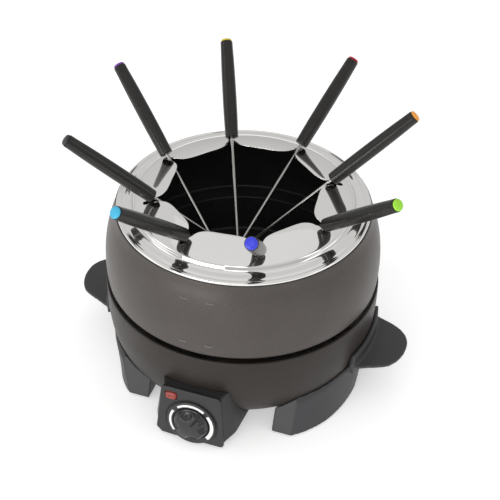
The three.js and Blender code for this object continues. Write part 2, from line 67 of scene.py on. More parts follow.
# --------------------------------------------------------------- materials
def new_mat(name, base, rough, metallic=0.0, spec=0.5, coat=0.0, coat_rough=0.1, ior=None,
            rough_var=0.04, rough_scale=40.0, col_var=0.0, col_scale=60.0, col2=None,
            bump=0.0, bump_scale=900.0, bump_dist=0.0002, stretch=None, wave=0.0, wave_scale=20.0,
            emission=None, flake=0.0, flake_scale=2500.0):
    m = bpy.data.materials.new(name)
    m.use_nodes = True
    nt = m.node_tree
    n, l = nt.nodes, nt.links
    b = n["Principled BSDF"]
    b.inputs["Base Color"].default_value = (*base, 1)
    b.inputs["Roughness"].default_value = rough
    b.inputs["Metallic"].default_value = metallic
    b.inputs["Specular IOR Level"].default_value = spec
    b.inputs["Coat Weight"].default_value = coat
    b.inputs["Coat Roughness"].default_value = coat_rough
    if ior: b.inputs["IOR"].default_value = ior
    if emission:
        b.inputs["Emission Color"].default_value = (*emission[0], 1)
        b.inputs["Emission Strength"].default_value = emission[1]
    tc = n.new("ShaderNodeTexCoord")
    src = tc.outputs["Object"]
    if stretch:
        mp = n.new("ShaderNodeMapping")
        mp.inputs["Scale"].default_value = stretch
        l.new(src, mp.inputs["Vector"])
        src = mp.outputs["Vector"]
    def noise(scale, detail=3.0, rg=0.55):
        t = n.new("ShaderNodeTexNoise")
        t.inputs["Scale"].default_value = scale
        t.inputs["Detail"].default_value = detail
        t.inputs["Roughness"].default_value = rg
        l.new(src, t.inputs["Vector"])
        return t.outputs["Fac"]
    def ranged(fac, lo, hi, a=0.3, z=0.7):
        r = n.new("ShaderNodeMapRange")
        r.inputs["From Min"].default_value, r.inputs["From Max"].default_value = a, z
        r.inputs["To Min"].default_value, r.inputs["To Max"].default_value = lo, hi
        l.new(fac, r.inputs["Value"])
        return r.outputs["Result"]
    if rough_var:
        l.new(ranged(noise(rough_scale), max(0.01, rough - rough_var), rough + rough_var), b.inputs["Roughness"])
    if col_var or flake or col2:
        second = col2 or tuple(min(1, c * (1 + col_var) + 0.002 * (col_var > 0)) for c in base)
        first = base if col2 else tuple(max(0, c * (1 - col_var)) for c in base)
        mix = n.new("ShaderNodeMix"); mix.data_type = "RGBA"
        mix.inputs["A"].default_value = (*first, 1)
        mix.inputs["B"].default_value = (*second, 1)
        l.new(ranged(noise(col_scale, 4.0), 0, 1), mix.inputs["Factor"])
        out = mix.outputs["Result"]
        if flake:
            v = n.new("ShaderNodeTexVoronoi")
            v.inputs["Scale"].default_value = flake_scale
            l.new(src, v.inputs["Vector"])
            sep = n.new("ShaderNodeSeparateColor")
            l.new(v.outputs["Color"], sep.inputs["Color"])
            mix2 = n.new("ShaderNodeMix"); mix2.data_type = "RGBA"
            l.new(ranged(sep.outputs["Red"], 0, flake, 0.55, 1.0), mix2.inputs["Factor"])
            l.new(out, mix2.inputs["A"])
            mix2.inputs["B"].default_value = (min(1, base[0] * 4 + 0.05), min(1, base[1] * 4 + 0.05), min(1, base[2] * 4 + 0.05), 1)
            out = mix2.outputs["Result"]
        l.new(out, b.inputs["Base Color"])
    last = None
    if bump:
        bp = n.new("ShaderNodeBump")
        bp.inputs["Strength"].default_value = bump
        bp.inputs["Distance"].default_value = bump_dist
        l.new(noise(bump_scale, 2.0), bp.inputs["Height"])
        last = bp
    if wave:
        bw = n.new("ShaderNodeBump")
        bw.inputs["Strength"].default_value = wave
        bw.inputs["Distance"].default_value = 0.001
        l.new(noise(wave_scale, 1.0), bw.inputs["Height"])
        if last: l.new(last.outputs["Normal"], bw.inputs["Normal"])
        last = bw
    if last: l.new(last.outputs["Normal"], b.inputs["Normal"])
    return m

M = {}
M["pot_out"] = new_mat("pot_stove_enamel", (0.082, 0.0730, 0.0675), 0.37, 0.30, spec=0.14, rough_var=0.025, col_var=0.06, col_scale=18,
                       bump=0.10, bump_scale=1500, bump_dist=0.00005, flake=0.035, flake_scale=1300)
M["base_out"] = new_mat("base_stove_enamel", (0.024, 0.0195, 0.0168), 0.44, 0.0, spec=0.24, rough_var=0.025, col_var=0.06, col_scale=18,
                        bump=0.10, bump_scale=1500, bump_dist=0.00005, flake=0.035, flake_scale=1300)
# level marks: the same enamel as the wall, coloured lighter to paint on the highlight their raised dashes catch
M["pot_mark"] = new_mat("pot_mark_enamel", (0.15, 0.138, 0.130), 0.34, 0.2, spec=0.3, rough_var=0.025, col_var=0.05, col_scale=18,
                        bump=0.10, bump_scale=1500, bump_dist=0.00005)
M["nonstick"] = new_mat("pot_nonstick_lining", (0.024, 0.024, 0.024), 0.38, 0.0, spec=0.35, rough_var=0.05, col_var=0.15,
                        bump=0.2, bump_scale=1200, bump_dist=0.0001)
M["mirror"] = new_mat("ring_mirror_steel", (0.80, 0.79, 0.775), 0.05, 1.0, rough_var=0.012, rough_scale=30, wave=0.03, wave_scale=14,
                      col_var=0.02, col_scale=12)
M["wire"] = new_mat("fork_polished_wire", (0.40, 0.39, 0.375), 0.20, 1.0, rough_var=0.04, rough_scale=120, col_var=0.04, bump=0.05, bump_scale=500,
                    bump_dist=0.00005)
M["plastic"] = new_mat("moulding_grey_plastic", (0.044, 0.044, 0.047), 0.48, 0.0, spec=0.36, rough_var=0.04, rough_scale=60, col_var=0.06, col_scale=30,
                       bump=0.35, bump_scale=2200, bump_dist=0.00012)
M["panel"] = new_mat("panel_grey_plastic", (0.028, 0.028, 0.0285), 0.42, 0.0, spec=0.34, rough_var=0.04, rough_scale=80, col_var=0.05, col_scale=30,
                     bump=0.35, bump_scale=2600, bump_dist=0.0001)
M["housing"] = new_mat("housing_black_plastic", (0.023, 0.0225, 0.0225), 0.42, 0.0, spec=0.36, rough_var=0.04, rough_scale=80, col_var=0.05,
                       bump=0.3, bump_scale=2200, bump_dist=0.0001)
M["handle"] = new_mat("handle_satin_plastic", (0.0125, 0.0115, 0.0105), 0.24, 0.0, spec=0.36, rough_var=0.05, rough_scale=90, col_var=0.12, col_scale=120,
                      bump=0.18, bump_scale=700, bump_dist=0.0001)
M["knob"] = new_mat("knob_satin_plastic", (0.020, 0.020, 0.0215), 0.20, 0.0, spec=0.50, rough_var=0.04, rough_scale=120, col_var=0.08,
                    bump=0.12, bump_scale=900, bump_dist=0.0001)
M["sheet"] = new_mat("reflector_sheet_steel", (0.42, 0.42, 0.41), 0.32, 1.0, rough_var=0.08, rough_scale=60, col_var=0.08, stretch=(1, 1, 6),
                     bump=0.1, bump_scale=400)
M["alloy"] = new_mat("heating_plate_cast_alloy", (0.34, 0.34, 0.34), 0.42, 1.0, rough_var=0.07, rough_scale=90, col_var=0.12, bump=0.3, bump_scale=1400)
M["zinc"] = new_mat("zinc_plated_steel", (0.5, 0.5, 0.52), 0.3, 1.0, rough_var=0.07, rough_scale=200, col_var=0.08, bump=0.1, bump_scale=1200)
M["rubber"] = new_mat("matt_rubber", (0.014, 0.014, 0.014), 0.72, 0.0, spec=0.3, rough_var=0.08, col_var=0.15, bump=0.5, bump_scale=1800, bump_dist=0.0002)
M["ceramic"] = new_mat("ceramic_cream", (0.62, 0.56, 0.44), 0.6, 0.0, rough_var=0.06, col_var=0.05, bump=0.3, bump_scale=1500)
M["print"] = new_mat("white_print", (0.82, 0.82, 0.80), 0.45, 0.0, rough_var=0.05, col_var=0.02, bump=0.1, bump_scale=3000)
M["lamp"] = new_mat("pilot_lamp_red", (0.24, 0.022, 0.014), 0.16, 0.0, spec=0.5, coat=0.2, rough_var=0.03, rough_scale=300, col_var=0.12, col_scale=400,
                    emission=((0.5, 0.03, 0.015), 0.04))
CAPS = {"orange": (0.83, 0.33, 0.035), "red": (0.50, 0.022, 0.04), "yellow": (0.62, 0.52, 0.03), "purple": (0.20, 0.055, 0.40), "black": (0.018, 0.018, 0.02),
        "cyan": (0.05, 0.42, 0.66), "blue": (0.035, 0.045, 0.62), "green": (0.33, 0.72, 0.04)}
for k, c in CAPS.items():
    M["cap_" + k] = new_mat("cap_" + k, c, 0.34, 0.0, spec=0.45, rough_var=0.05, rough_scale=300, col_var=0.07, col_scale=260, bump=0.15, bump_scale=1500)

# ------------------------------------------------------------- mesh helpers
def finish_mesh(o, angle=32.0, weld=1e-6):
    bm = bmesh.new()
    bm.from_mesh(o.data)
    bmesh.ops.remove_doubles(bm, verts=bm.verts, dist=weld)
    bmesh.ops.dissolve_degenerate(bm, edges=bm.edges, dist=1e-8)
    bmesh.ops.recalc_face_normals(bm, faces=bm.faces)
    for f in bm.faces: f.smooth = True
    lim = rad(angle)
    for e in bm.edges:
        e.smooth = not (len(e.link_faces) == 2 and e.calc_face_angle(0) > lim)
    bm.to_mesh(o.data)
    bm.free()
    o.data.update()
    return o

def make(name, verts, faces, mats, index=None, angle=32.0, tidy=True):
    me = bpy.data.meshes.new(name)
    v = np.asarray(verts, float) * MM
    me.from_pydata(v.tolist(), [], faces)
    for m in (mats if isinstance(mats, (list, tuple)) else [mats]):
        me.materials.append(m)
    if index is not None:
        me.polygons.foreach_set("material_index", np.asarray(index, np.int32))
    o = bpy.data.objects.new(name, me)
    scene.collection.objects.link(o)
    if tidy: finish_mesh(o, angle)
    return o

def spline(pts, n=5):
    """centripetal curve through pts, n steps for each span"""
    p = [np.asarray(q, float) for q in pts]
    p = [2 * p[0] - p[1]] + p + [2 * p[-1] - p[-2]]
    out = []
    for i in range(1, len(p) - 2):
        a, b, c, d = p[i - 1], p[i], p[i + 1], p[i + 2]
        t0 = 0.0
        t1 = t0 + max(1e-6, np.linalg.norm(b - a)) ** 0.5
        t2 = t1 + max(1e-6, np.linalg.norm(c - b)) ** 0.5
        t3 = t2 + max(1e-6, np.linalg.norm(d - c)) ** 0.5
        for k in range(n):
            t = t1 + (t2 - t1) * k / n
            a1 = (t1 - t) / (t1 - t0) * a + (t - t0) / (t1 - t0) * b
            a2 = (t2 - t) / (t2 - t1) * b + (t - t1) / (t2 - t1) * c
            a3 = (t3 - t) / (t3 - t2) * c + (t - t2) / (t3 - t2) * d
            b1 = (t2 - t) / (t2 - t0) * a1 + (t - t0) / (t2 - t0) * a2
            b2 = (t3 - t) / (t3 - t1) * a2 + (t - t1) / (t3 - t1) * a3
            out.append((t2 - t) / (t2 - t1) * b1 + (t - t1) / (t2 - t1) * b2)
    out.append(p[-2])
    return np.array(out)

def fillet(pts, r, n=4, closed=False):
    """polyline with its corners rounded; r is one radius or one for each point"""
    p = [np.asarray(q, float) for q in pts]
    rs = [r] * len(p) if np.isscalar(r) else list(r)
    out = []
    for i in range(len(p)):
        if not closed and (i == 0 or i == len(p) - 1) or rs[i] <= 0:
            out.append(p[i]); continue
        a, b, c = p[i - 1], p[i], p[(i + 1) % len(p)]
        u, v = a - b, c - b
        lu, lv = np.linalg.norm(u), np.linalg.norm(v)
        if lu < 1e-6 or lv < 1e-6: out.append(b); continue
        u, v = u / lu, v / lv
        cosang = float(np.clip(u @ v, -1, 1))
        half = math.acos(cosang) / 2
        if half > rad(88): out.append(b); continue
        d = min(rs[i] / math.tan(half), lu * 0.48, lv * 0.48)
        s, e = b + u * d, b + v * d
        for k in range(n + 1):
            t = k / n
            out.append((1 - t) ** 2 * s + 2 * t * (1 - t) * b + t * t * e)
    return np.array(out)

def lathe(name, profile, segs, mats, index_fn=None, angle=32.0, closed=True):
    """profile of (radius, height) turned about Z; ends on the axis, or closes on itself"""
    prof = np.asarray(profile, float)
    n = len(prof)
    verts, faces, idx, rows = [], [], [], []
    ang = np.arange(segs) * 2 * math.pi / segs
    for r, z in prof:
        if r < 1e-6:
            rows.append([len(verts)]); verts.append((0, 0, z))
        else:
            rows.append(list(range(len(verts), len(verts) + segs)))
            verts.extend(zip((r * np.cos(ang)).tolist(), (r * np.sin(ang)).tolist(), [z] * segs))
    on_axis = prof[0][0] < 1e-6 and prof[-1][0] < 1e-6
    pairs = [(i, i + 1) for i in range(n - 1)] + ([] if on_axis or not closed else [(n - 1, 0)])
    for i, j in pairs:
        a, b = rows[i], rows[j]
        m = 0 if index_fn is None else index_fn((prof[i] + prof[j]) / 2, i)
        for k in range(segs):
            k2 = (k + 1) % segs
            if len(a) == 1 and len(b) == 1: continue
            if len(a) == 1: f = (a[0], b[k2], b[k])
            elif len(b) == 1: f = (a[k], a[k2], b[0])
            else: f = (a[k], a[k2], b[k2], b[k])
            faces.append(f); idx.append(m)
    return make(name, verts, faces, mats, idx, angle)

def prism(name, outline, z0, z1, mats, angle=32.0):
    n = len(outline)
    verts = [(x, y, z0) for x, y in outline] + [(x, y, z1) for x, y in outline]
    faces = [tuple(range(n))[::-1], tuple(range(n, 2 * n))] + [(i, (i + 1) % n, n + (i + 1) % n, n + i) for i in range(n)]
    return make(name, verts, faces, mats, None, angle)

def loft(name, loops, mats, angle=32.0):
    n = len(loops[0])
    verts = [tuple(p) for l in loops for p in l]
    faces = []
    for k in range(len(loops) - 1):
        for i in range(n):
            j = (i + 1) % n
            faces.append((k * n + i, k * n + j, (k + 1) * n + j, (k + 1) * n + i))
    faces.append(tuple(range(n))[::-1])
    faces.append(tuple(range((len(loops) - 1) * n, len(loops) * n)))
    return make(name, verts, faces, mats, None, angle)

def boxed(name, x0, x1, y0, y1, z0, z1, mats=None):
    return prism(name, [(x0, y0), (x1, y0), (x1, y1), (x0, y1)], z0, z1, mats or M["plastic"])

def apply_mods(o):
    bpy.context.view_layer.update()
    dg = bpy.context.evaluated_depsgraph_get()
    me = bpy.data.meshes.new_from_object(o.evaluated_get(dg), depsgraph=dg)
    o.modifiers.clear()
    old = o.data
    o.data = me
    me.name = o.name
    bpy.data.meshes.remove(old)
    return o

def boolean(o, other, op="DIFFERENCE", keep=False):
    m = o.modifiers.new("b", "BOOLEAN")
    m.operation, m.object, m.solver = op, other, "EXACT"
    apply_mods(o)
    if not keep: bpy.data.objects.remove(other)
    return o

def bevel(o, width, segs=3, angle=30.0):
    m = o.modifiers.new("v", "BEVEL")
    m.width, m.segments, m.limit_method, m.angle_limit = width * MM, segs, "ANGLE", rad(angle)
    m.harden_normals = False
    m.use_clamp_overlap = True
    apply_mods(o)
    return o

def place(o, matrix):
    o.data.transform(matrix)
    return o

def join_objs(name, objs):
    """several closed pieces that belong to one part, as one object"""
    bm = bmesh.new()
    mats = []
    for o in objs:
        base = len(bm.faces)
        bm.from_mesh(o.data)
        bm.faces.ensure_lookup_table()
        local = [m for m in o.data.materials]
        for m in local:
            if m not in mats: mats.append(m)
        for f in bm.faces[base:]:
            f.material_index = mats.index(local[f.material_index]) if local else 0
    me = bpy.data.meshes.new(name)
    bm.to_mesh(me); bm.free()
    for m in mats: me.materials.append(m)
    for o in objs: bpy.data.objects.remove(o)
    r = bpy.data.objects.new(name, me)
    scene.collection.objects.link(r)
    return r

def part(o, body, *nodes, slot=None):
    o.data.transform(Matrix.Translation((0, AXIS_Y * MM, 0)))
    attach(o, body)
    if nodes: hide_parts(*nodes)
    return o

# ------------------------------------------------------------------ the pot
POT_OUT = [(86, 49.0), (91.5, 51.0), (94.6, 56.5), (96.2, 80.5), (99.0, 83.4), (106.2, 84.2), (109.2, 86.4), (110.2, 91),
           (110.6, 103), (110.0, 115), (108.4, 126), (105.8, 136), (102.9, 144.2), (101.6, 148.6)]
POT_IN = [(100.2, 149.6), (98.2, 149.2), (97.6, 147.8), (99.6, 143.2), (103.0, 134.8), (105.7, 125.2), (107.3, 114.6),
          (107.9, 103), (107.5, 91.5), (106.0, 88.0), (99.0, 87.0), (94.4, 84.6), (92.6, 79.5), (91.4, 58.0), (88.0, 54.2), (83, 53.0)]

def build_pot():
    lower = fillet([(0, 49), (58, 49), (58.6, 48.9), (92.5, 48.9), (95.4, 68), (96.2, 83.8), (109.4, 84.0), (110.3, 92)],
                   [0, 0, 0, 7, 20, 3.2, 4.2, 0], 6)
    wall = spline([(110.3, 92), (110.6, 103), (110.0, 115), (108.4, 126), (105.8, 136), (102.9, 144.2), (101.6, 148.6)], 6)
    rim = fillet([(101.6, 148.6), (101.3, 149.7), (98.0, 149.5), (97.4, 147.8)], [0, 0.9, 1.0, 0], 4)
    inner = spline([(97.4, 147.8), (99.6, 143.2), (103.0, 134.8), (105.7, 125.2), (107.3, 114.6), (107.9, 103), (107.6, 91.5)], 6)
    bottom = fillet([(107.6, 91.5), (107.2, 87.2), (93.0, 86.2), (91.3, 60), (90.8, 53.4), (82, 52.9), (79, 53.0), (0, 53.0)],
                    [0, 3.0, 1.6, 10, 4.5, 2, 2, 0], 6)
    prof = np.vstack([lower[:-1], wall[:-1], rim[:-1], inner[:-1], bottom])
    n_out = len(lower) + len(wall) - 2 + 4
    o = lathe("pot_body", prof, 224, [M["pot_out"], M["nonstick"]], lambda p, i: 0 if i < n_out else 1, 30)
    return part(o, "pot", "pot", slot="pot_enamel")

def pot_surface(z):
    prof = spline([(110.3, 92), (110.6, 103), (110.0, 115), (108.4, 126), (105.8, 136), (102.9, 144.2)], 6)
    return float(np.interp(z, prof[:, 1], prof[:, 0]))

# level marks: short raised dashes pressed into the wall, at two heights; they are the wall's enamel, coloured lighter
# as a painted highlight
def capsule_on_wall(az_deg, z, half_len, half_w, height, surface):
    verts, faces = [], []
    nu, nv = 12, 6
    for j in range(nv + 1):
        v = -1 + 2 * j / nv
        for i in range(nu + 1):
            u = -1 + 2 * i / nu
            h = height * max(0.0, (1 - u ** 4)) * max(0.0, 1 - v * v)
            zz = z + v * half_w
            r = surface(zz) - 0.12 + h
            a = rad(az_deg) + u * half_len / surface(z)
            verts.append((r * math.cos(a), r * math.sin(a), zz))
    for j in range(nv):
        for i in range(nu):
            a = j * (nu + 1) + i
            faces.append((a, a + 1, a + nu + 2, a + nu + 1))
    back = len(verts)
    ring = [i for i in range(nu + 1)] + [(j + 1) * (nu + 1) - 1 for j in range(1, nv + 1)] + \
           [nv * (nu + 1) + i for i in range(nu - 1, -1, -1)] + [j * (nu + 1) for j in range(nv - 1, 0, -1)]
    for k in ring:
        x, y, zz = verts[k]
        s = 1 - 0.5 / math.hypot(x, y)
        verts.append((x * s, y * s, zz))
    m = len(ring)
    for i in range(m):
        faces.append((ring[i], ring[(i + 1) % m], back + (i + 1) % m, back + i))
    faces.append(tuple(back + i for i in range(m))[::-1])
    return verts, faces

def build_level_marks(marks):
    verts, faces = [], []
    for az, z in marks:
        v, f = capsule_on_wall(az, z, 3.1, 0.75, 0.95, pot_surface)
        faces += [tuple(i + len(verts) for i in q) for q in f]
        verts += v
    # painted highlight: the lighter mark colour stands in for the light the raised dashes catch
    o = make("pot_level_marks", verts, faces, M["pot_mark"], None, 40)
    return part(o, "pot", slot="pot_enamel")

# ------------------------------------------------------------- splash ring
FORKS = [
    ("orange", 61.52, 34.31, 164.68, 42.587, 25.543, 29.36),
    ("red", 23.11, 74.54, 162.85, 37.625, 69.005, 72.88),
    ("yellow", -32.14, 60.74, 165.16, 41.234, 114.443, 118.14),
    ("purple", -74.43, 23.12, 162.88, 38.600, 147.498, 163.14),
    ("black", -62.28, -35.44, 164.35, 41.356, 203.418, 209.99),
    ("cyan", -22.11, -70.31, 163.77, 40.622, 243.631, 252.95),
    ("blue", 35.71, -66.69, 163.22, 41.838, 282.863, 298.68),
    ("green", 72.80, -21.45, 163.15, 39.813, 335.482, 343.86),
]
RING_TOP = [(100.4, 150.3), (100.1, 151.3), (98.7, 151.9), (96.9, 151.6), (95.0, 152.15), (89.3, 152.25), (87.6, 153.3),
            (86.2, 156.0), (84.0, 157.3), (78.0, 159.2), (70.5, 161.2), (63.0, 162.7), (54.0, 163.7)]
LOBE = [(0, 71.6), (1.7, 70.7), (2.6, 68.9), (3.0, 66.9), (4.0, 64.6), (5.6, 62.6), (8.2, 60.7), (12, 59.3), (17, 58.5), (22.5, 58.3)]

def build_ring():
    top = spline(RING_TOP, 7)                       # outer edge to the middle
    inner_first = top[::-1]
    def z_top(r): return np.interp(r, inner_first[:, 0], inner_first[:, 1])
    lobe = spline(LOBE + [(28, 58.5)], 8)
    # columns
    th, rb = [], []
    slot_c, slot_h = 77.1, 2.4
    edge = math.degrees(math.asin(slot_h / slot_c))
    slot_steps = [0, 0.45, 0.85, 1.15, 1.4, 1.6, 1.72, edge - 0.012]
    def slot_r(d):
        s = slot_c * math.sin(rad(d))
        return slot_c * math.cos(rad(d)) + math.sqrt(max(0.0, slot_h ** 2 - s * s))
    for k in range(8):
        a0, a1 = FORKS[k][6], FORKS[(k + 1) % 8][6] + (360 if k == 7 else 0)
        span = (a1 - a0) / 45.0
        steps = [edge + 0.012, 2.0, 2.2, 2.4, 2.6, 2.75, 2.9, 3.05, 3.25, 3.5, 3.8, 4.2, 4.7, 5.2, 5.8, 6.5, 7.2, 8, 8.9, 9.8, 10.8, 11.8, 12.9, 14, 15.2, 16.4, 17.6, 18.8, 20, 21.2, 22.4]
        cols = [(d, slot_r(d)) for d in slot_steps]
        for d in steps:
            dd = d if d < 3 else 3 + (d - 3) * (22.5 * span - 3) / (22.4 - 3)
            cols.append((dd, float(np.interp(dd / span, lobe[:, 0], lobe[:, 1]))))
        right = [(a0 + d, r) for d, r in cols]
        left = [(a1 - d, r) for d, r in cols[::-1] if d > 1e-9][1:]
        for a, r in right + left:
            th.append(a); rb.append(r)
    th, rb = np.array(th), np.array(rb)
    n = len(th)
    bx, by = rb * np.cos(np.radians(th)), rb * np.sin(np.radians(th))
    tx, ty = np.roll(bx, -1) - np.roll(bx, 1), np.roll(by, -1) - np.roll(by, 1)
    ln = np.hypot(tx, ty)
    nx, ny = -ty / ln, tx / ln                      # into the opening for an anticlockwise boundary
    flip = (nx * bx + ny * by).sum() > 0
    if flip: nx, ny = -nx, -ny
    fixed = [(r, z) for r, z in inner_first if r > 80.6]
    K = 9
    under = fillet([(80.6, 0), (95.3, 0)], 0)       # placeholder, replaced below
    T = 0.9
    rows = []
    # underside, from the edge outwards, then the locating collar and back to the bead
    def col_points(i):
        r0, a = rb[i], th[i]
        pts = []
        # rounded edge
        c, s = math.cos(rad(a)), math.sin(rad(a))
        for ang in (-68, -38, -12, 12, 38, 68):
            off = 0.45 * math.cos(rad(ang))
            dz = 0.45 * math.sin(rad(ang))
            pts.append((bx[i] + nx[i] * (off - 0.1), by[i] + ny[i] * (off - 0.1), z_top(r0) - T / 2 + dz))
        for k in range(K):
            r = r0 + 0.35 + (80.2 - r0 - 0.35) * k / (K - 1) if r0 < 80 else 80.2
            pts.append((r * c, r * s, float(z_top(r))))
        for r, z in fixed:
            pts.append((r * c, r * s, z))
        tail = [(100.42, 149.9), (100.0, 149.65), (98.6, 149.75), (97.0, 150.1), (96.45, 149.6), (96.4, 143.2), (96.25, 142.6), (95.65, 142.6),
                (95.5, 143.2), (95.45, 150.6), (94.9, 151.2), (92, 151.3), (89.3, 151.35), (87.1, 152.4), (85.5, 155.0), (83.6, 156.3), (81, 157.2)]
        for r, z in tail:
            pts.append((r * c, r * s, z))
        for k in range(K):
            r = 80.2 + (r0 + 0.35 - 80.2) * k / (K - 1) if r0 < 80 else 80.2
            pts.append((r * c, r * s, float(z_top(r)) - T))
        return pts
    cols = [col_points(i) for i in range(n)]
    m = len(cols[0])
    verts = [p for c in cols for p in c]
    faces = []
    for i in range(n):
        j = (i + 1) % n
        for k in range(m):
            k2 = (k + 1) % m
            faces.append((i * m + k, j * m + k, j * m + k2, i * m + k2))
    o = make("splash_ring_sheet", verts, faces, M["mirror"], None, 50)
    return part(o, "ring", "splash_ring", slot="mirror_steel")

# -------------------------------------------------------------------- forks
def build_fork(k, colour, x, y, z, el, az):
    e, a = rad(el), rad(az)
    d = Vector((math.cos(e) * math.cos(a), math.cos(e) * math.sin(a), math.sin(e)))
    side = Vector((-math.sin(a), math.cos(a), 0))
    up = d.cross(side)
    m = Matrix(((side.x, up.x, d.x, x * MM), (side.y, up.y, d.y, y * MM), (side.z, up.z, d.z, z * MM), (0, 0, 0, 1)))
    L = 82.0
    body = spline([(5.3, 1.1), (5.5, 8), (5.68, 18), (5.75, 28), (5.74, 40), (5.62, 54), (5.38, 67), (5.12, 76), (5.05, 80.6)], 4)
    prof = np.vstack([[(0, 8.2), (1.75, 8.2)], fillet([(1.75, 8.2), (1.75, 0.25), (2.2, 0.0), (4.7, 0.0), (5.22, 0.5), (5.3, 1.1)], [0, 0.2, 0.2, 0.5, 0.5, 0], 3)[1:-1],
                      body, fillet([(5.05, 80.6), (5.02, 81.6), (4.6, 82.0), (3.95, 82.0), (3.9, 79.65), (0, 79.65)], [0, 0.6, 0.4, 0.15, 0, 0], 3)[1:]])
    h = place(lathe(f"fork_{k}_grip", prof, 48, M["handle"], angle=35), m)
    part(h, f"fork_{k}", f"fork_{k}_handle", slot="handle_black")
    cap = np.vstack([[(0, 79.9), (3.55, 79.9)], fillet([(3.55, 79.9), (3.6, 82.25), (4.4, 82.25), (4.5, 82.9), (4.1, 83.7), (2.4, 84.2), (0, 84.35)], [0, 0.1, 0.25, 0.5, 1.4, 3, 0], 5)[1:]])
    c = place(lathe(f"fork_{k}_end_cap", cap, 44, M["cap_" + colour], angle=35), m)
    part(c, f"fork_{k}", f"fork_{k}_cap", slot="cap_" + colour)
    # stem: round wire, pressed flat before the fork head, with two barbed tines
    zb = -140.0
    verts, faces, ns = [], [], 20
    stations = [(7.9, 1.45, 1.45), (7.7, 1.45, 1.45), (0, 1.45, 1.45), (-40, 1.45, 1.45), (-80, 1.45, 1.45), (-118, 1.45, 1.45), (-130, 1.42, 1.42), (-134.5, 1.2, 1.55),
                (-137.5, 0.95, 1.95), (-139.6, 0.78, 2.35), (-141.6, 0.74, 2.38), (-142.4, 0.55, 2.2)]
    dense = []
    for i in range(len(stations) - 1):
        q0, q1 = np.array(stations[i]), np.array(stations[i + 1])
        steps = 1 if abs(q1[0] - q0[0]) < 3 else 4
        for s in range(steps): dense.append(q0 + (q1 - q0) * s / steps)
    dense.append(np.array(stations[-1]))
    for zz, rx, ry in dense:
        for i in range(ns):
            t = 2 * math.pi * i / ns
            verts.append((rx * math.cos(t), ry * math.sin(t), zz))
    for j in range(len(dense) - 1):
        for i in range(ns):
            i2 = (i + 1) % ns
            faces.append((j * ns + i, j * ns + i2, (j + 1) * ns + i2, (j + 1) * ns + i))
    faces.append(tuple(range(ns))[::-1]); faces.append(tuple(range((len(dense) - 1) * ns, len(dense) * ns)))
    stem = make(f"fork_{k}_wire", verts, faces, M["wire"], None, 35)
    tines = []
    for s in (-1, 1):
        tv, tf, nt = [], [], 12
        st = [(-139.4, 0.0, 0.66, 0.62), (-146, 0, 0.70, 0.66), (-151.5, 0, 0.68, 0.62), (-152.6, 0.12, 0.80, 0.60), (-153.4, 0.0, 0.62, 0.55), (-156, 0, 0.5, 0.45), (-158.6, 0, 0.26, 0.24), (-159.8, 0, 0.06, 0.06)]
        for zz, ox, rx, ry in st:
            for i in range(nt):
                t = 2 * math.pi * i / nt
                tv.append((ry * math.sin(t), s * (1.65 + ox * 0.5) + rx * math.cos(t), zz))
        for j in range(len(st) - 1):
            for i in range(nt):
                i2 = (i + 1) % nt
                tf.append((j * nt + i, j * nt + i2, (j + 1) * nt + i2, (j + 1) * nt + i))
        tf.append(tuple(range(nt))[::-1]); tf.append(tuple(range((len(st) - 1) * nt, len(st) * nt)))
        tines.append(make(f"tine{k}{s}", tv, tf, M["wire"], None, 40))
    for t in tines: boolean(stem, t, "UNION")
    finish_mesh(stem, 38)
    place(stem, m)
    part(stem, f"fork_{k}", f"fork_{k}_stem", slot="wire_steel")

# --------------------------------------------------------------------- base
def bowl_profile(grow=0.0):
    wall = spline([(111.2, 72), (110.7, 58), (109.6, 47), (107.6, 36.5), (104.6, 28), (100.6, 21.4), (95.6, 17.0), (89, 15.0)], 6)
    wall = wall + 0
    wall[:, 0] += grow
    wall[:, 1] -= np.where(wall[:, 1] < 22, grow * 0.7, 0)
    return wall

def build_bowl():
    rim = fillet([(108.6, 79.7), (108.8, 81.1), (111.1, 81.2), (111.2, 72)], [0, 0.8, 1.0, 0], 5)
    wall = bowl_profile()
    under = np.array([(80, 14.95), (66, 14.95), (66, 16.2), (80, 16.2)])
    inner = spline([(89, 16.3), (95.0, 18.2), (99.7, 22.4), (103.4, 28.6), (106.3, 37), (108.3, 47.3), (109.4, 58.2), (109.9, 72), (109.75, 79.0)], 5)
    prof = np.vstack([rim[:-1], wall, under, inner, [(109.6, 79.7)]])
    o = lathe("base_bowl_shell", prof, 224, M["base_out"], angle=30)
    # holes for the gland and the wires to the control box
    g = lathe("h1", np.array([(0, -30), (5.7, -30), (5.7, 30), (0, 30)]), 32, M["base_out"])
    place(g, Matrix.Translation((0, 0.103, 0.027)) @ Matrix.Rotation(rad(90), 4, "X"))
    boolean(o, g)
    boolean(o, boxed("h2", -9, 9, -112, -92, 24, 34))
    finish_mesh(o, 30)
    return part(o, "base", "base_bowl", slot="base_enamel")

